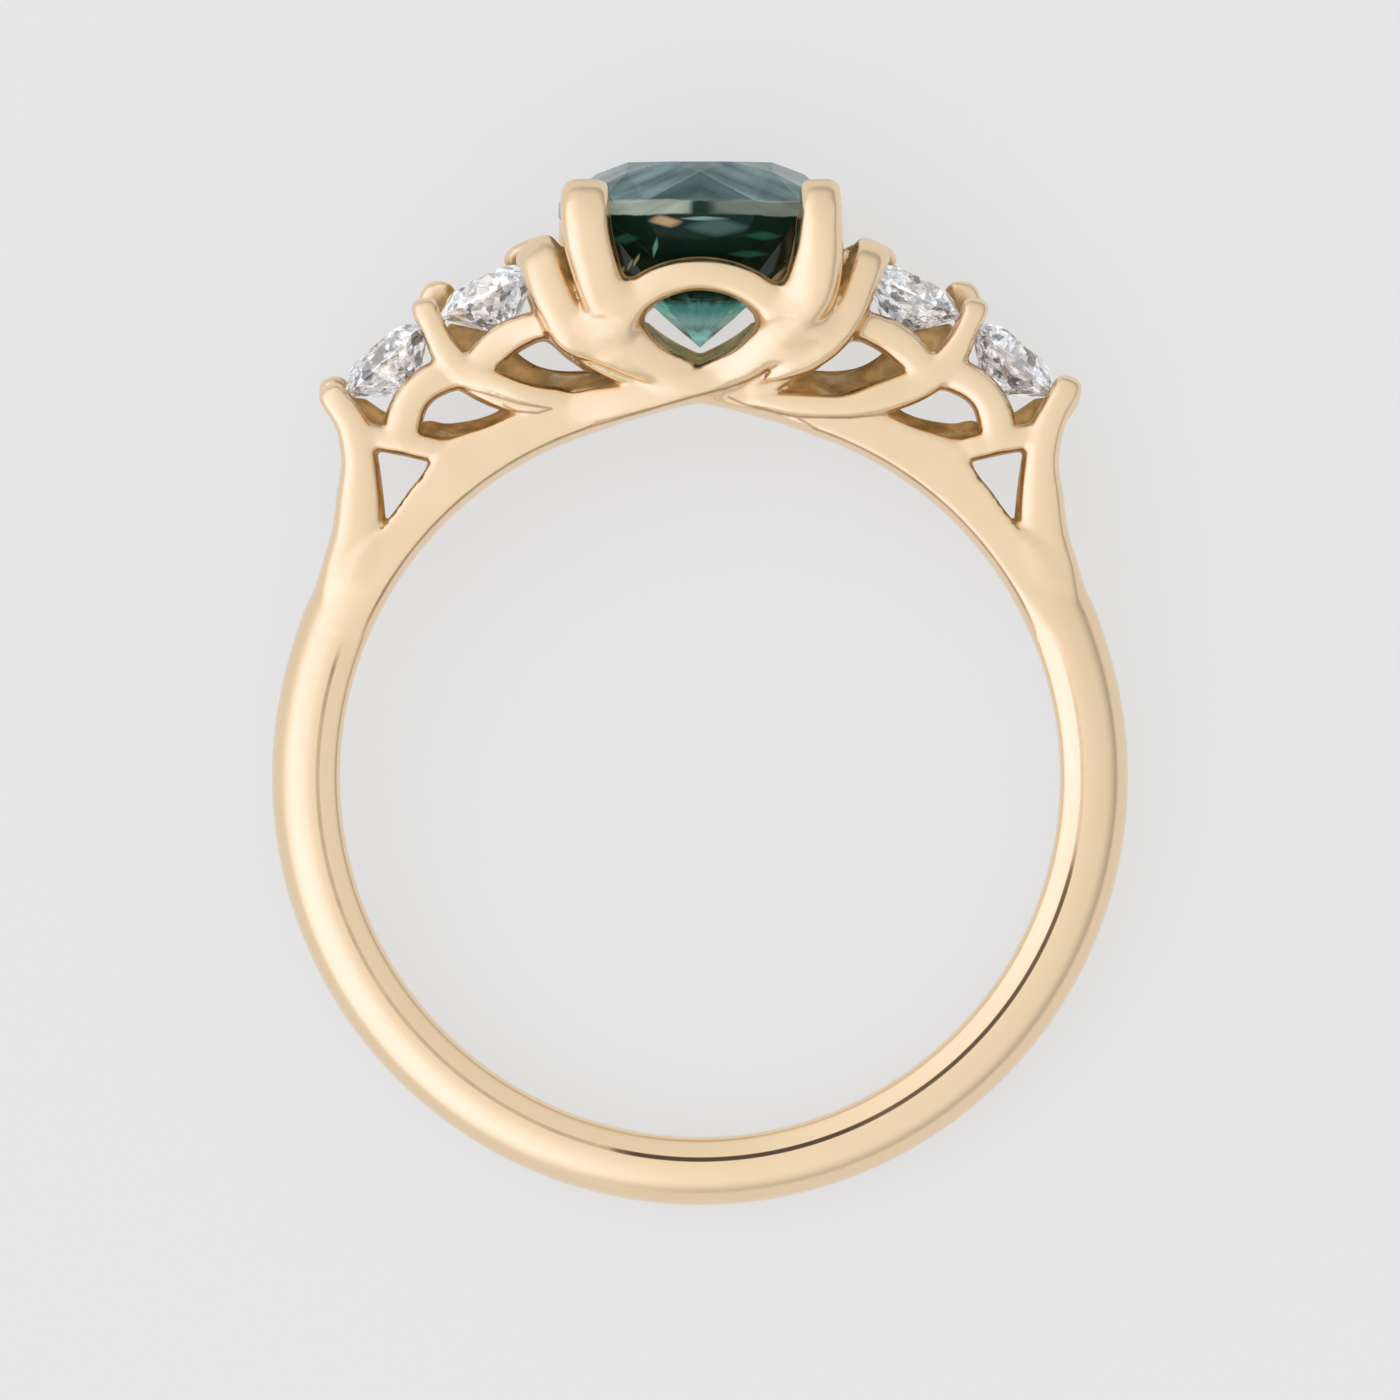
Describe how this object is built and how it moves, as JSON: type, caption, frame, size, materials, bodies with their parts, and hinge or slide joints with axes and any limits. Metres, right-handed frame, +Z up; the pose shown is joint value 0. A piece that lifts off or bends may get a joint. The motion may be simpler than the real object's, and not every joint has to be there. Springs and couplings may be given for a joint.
{
  "type": "sapphire ring",
  "caption": "Yellow gold engagement ring with a round teal sapphire on a woven trellis of claws, round diamonds stepping down both shoulders and a slim bevelled band.",
  "frame": {"origin": "middle of the ring's box, on the floor it lies on", "axes": "+Y from the bottom of the band to the head, +X across the ring, +Z up; the ring lies on its side on two main claws and the band, so the finger's axis leans 5.9 degrees from +Z towards -Y"},
  "size_m": [0.0196, 0.024, 0.0065],
  "materials": {
    "gold": "high polish, pale yellow gold",
    "sapphire": "faceted, clear teal",
    "diamond": "faceted, clear"
  },
  "bodies": {
    "root": {"mount": "gold", "sapphire": "sapphire", "diamond_inner_left": "diamond", "diamond_inner_right": "diamond", "diamond_outer_left": "diamond", "diamond_outer_right": "diamond"}
  },
  "joints": []
}
